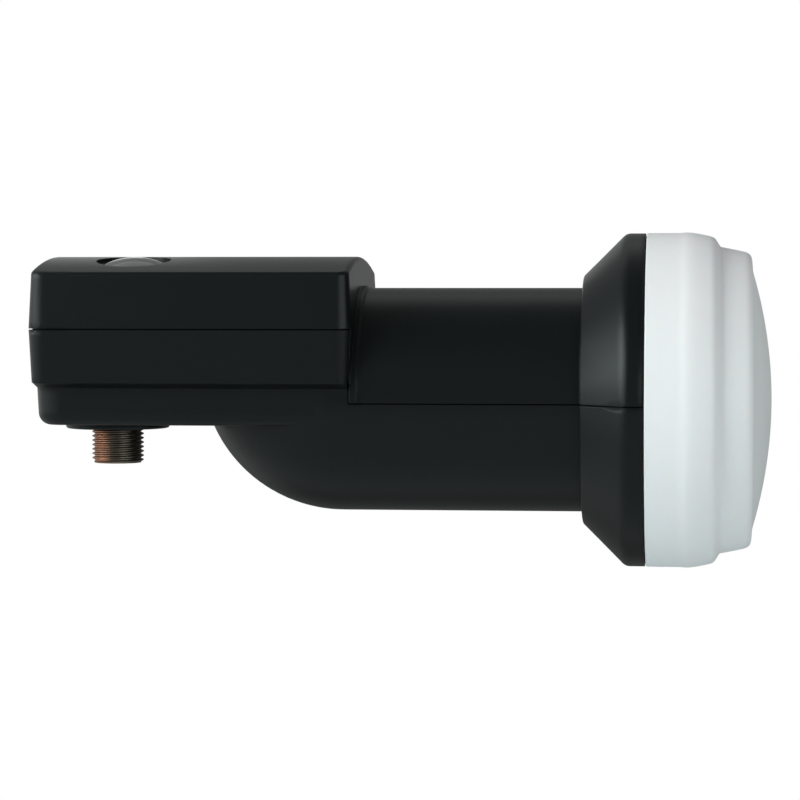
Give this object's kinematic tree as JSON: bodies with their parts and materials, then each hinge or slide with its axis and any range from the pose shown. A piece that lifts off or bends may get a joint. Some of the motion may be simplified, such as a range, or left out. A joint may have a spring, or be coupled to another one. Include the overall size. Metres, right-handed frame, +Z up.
{
  "type": "satellite lnb",
  "caption": "Satellite low-noise block converter: black plastic box on a round clamp neck, flared flange with domed white feed cap, and a threaded coaxial socket below.",
  "frame": {"origin": "middle of the clamp neck, on the feed axis", "axes": "+X along the feed axis towards the white cap, +Z up away from the coaxial socket"},
  "size_m": [0.1298, 0.0598, 0.0598],
  "materials": {
    "shell_black": "moulded, fine spark-eroded grain, weatherproof",
    "badge_silver": "clear dome over a bare silver face",
    "cap_white": "moulded polypropylene, satin",
    "seal_rubber": "moulded rubber",
    "cast_aluminium": "as die-cast",
    "plated_steel": "zinc plated",
    "probe_brass": "plated, bright",
    "bush_white": "turned fluoropolymer",
    "board_laminate": "glass laminate with solder mask",
    "chip_black": "moulded epoxy",
    "capacitor_tan": "fired ceramic with tinned ends",
    "ferrite_grey": "sintered ferrite",
    "socket_nickel": "nickel-plated, turned thread"
  },
  "bodies": {
    "root": {"upper_shell": "shell_black", "lower_shell": "shell_black", "badge": "badge_silver", "feed_cap": "cap_white", "cap_seal_ring": "seal_rubber", "horn_casting": "cast_aluminium", "isolation_pin": "plated_steel", "probe_vertical": "probe_brass", "probe_horizontal": "probe_brass", "probe_bushes": "bush_white", "circuit_board": "board_laminate", "shield_gasket": "seal_rubber", "shield_cover": "cast_aluminium", "shield_screws": "plated_steel", "converter_chip": "chip_black", "lna_transistors": "chip_black", "crystal": "plated_steel", "voltage_regulator": "chip_black", "chip_capacitors": "capacitor_tan", "chip_resistors": "chip_black", "bias_inductor": "ferrite_grey", "connector_body": "socket_nickel", "connector_insulator": "bush_white", "connector_contact": "probe_brass", "connector_seal": "seal_rubber"}
  },
  "joints": []
}
